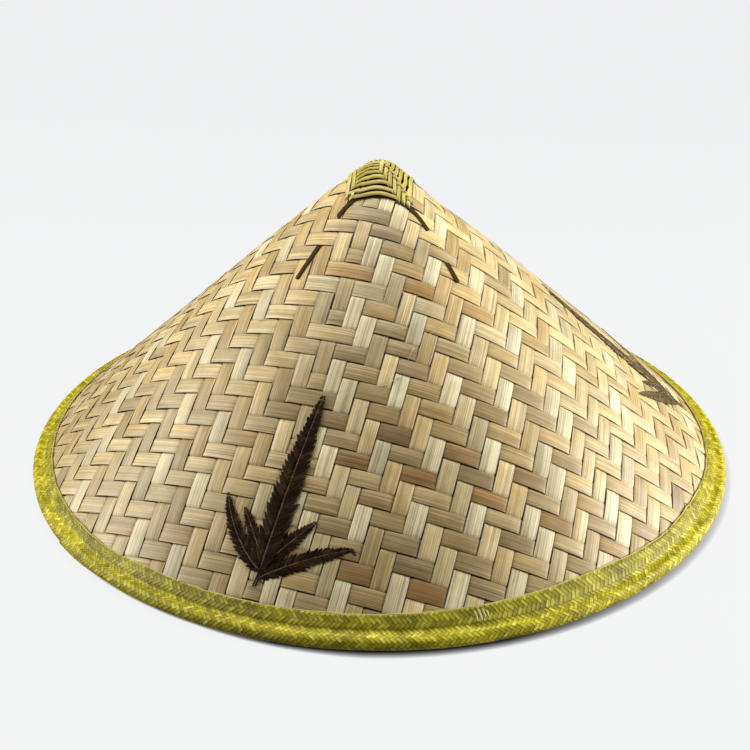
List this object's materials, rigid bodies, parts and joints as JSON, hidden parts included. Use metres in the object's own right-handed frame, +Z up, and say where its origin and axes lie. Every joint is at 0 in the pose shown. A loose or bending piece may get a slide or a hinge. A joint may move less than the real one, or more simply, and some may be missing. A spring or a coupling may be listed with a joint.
{
  "type": "conical woven bamboo hat",
  "caption": "Conical sun hat of twill-woven bamboo splints with a braided straw brim binding, a cane-wrapped tip and pressed fern leaves.",
  "frame": {"origin": "on the resting plane, under the middle of the brim", "axes": "+Z up through the tip, -Y towards the front of the picture, +X to the right seen from the front"},
  "size_m": [0.3998, 0.3998, 0.1728],
  "materials": {
    "woven_bamboo": "flat bamboo splints under thin clear lacquer, satin",
    "dyed_straw_braid": "yellow-green dyed straw braid, satin strands",
    "green_cane": "olive-yellow split cane, satin",
    "dark_cane": "dark brown stained split cane, satin",
    "dried_fern": "dried pressed leaf under thin clear lacquer"
  },
  "bodies": {
    "root": {"crown": "woven_bamboo", "rim_binding": "dyed_straw_braid", "tip_cap": "green_cane", "lacing_cane_front": "dark_cane", "lacing_cane_back": "dark_cane", "fern_front": "dried_fern", "fern_right": "dried_fern"}
  },
  "joints": []
}
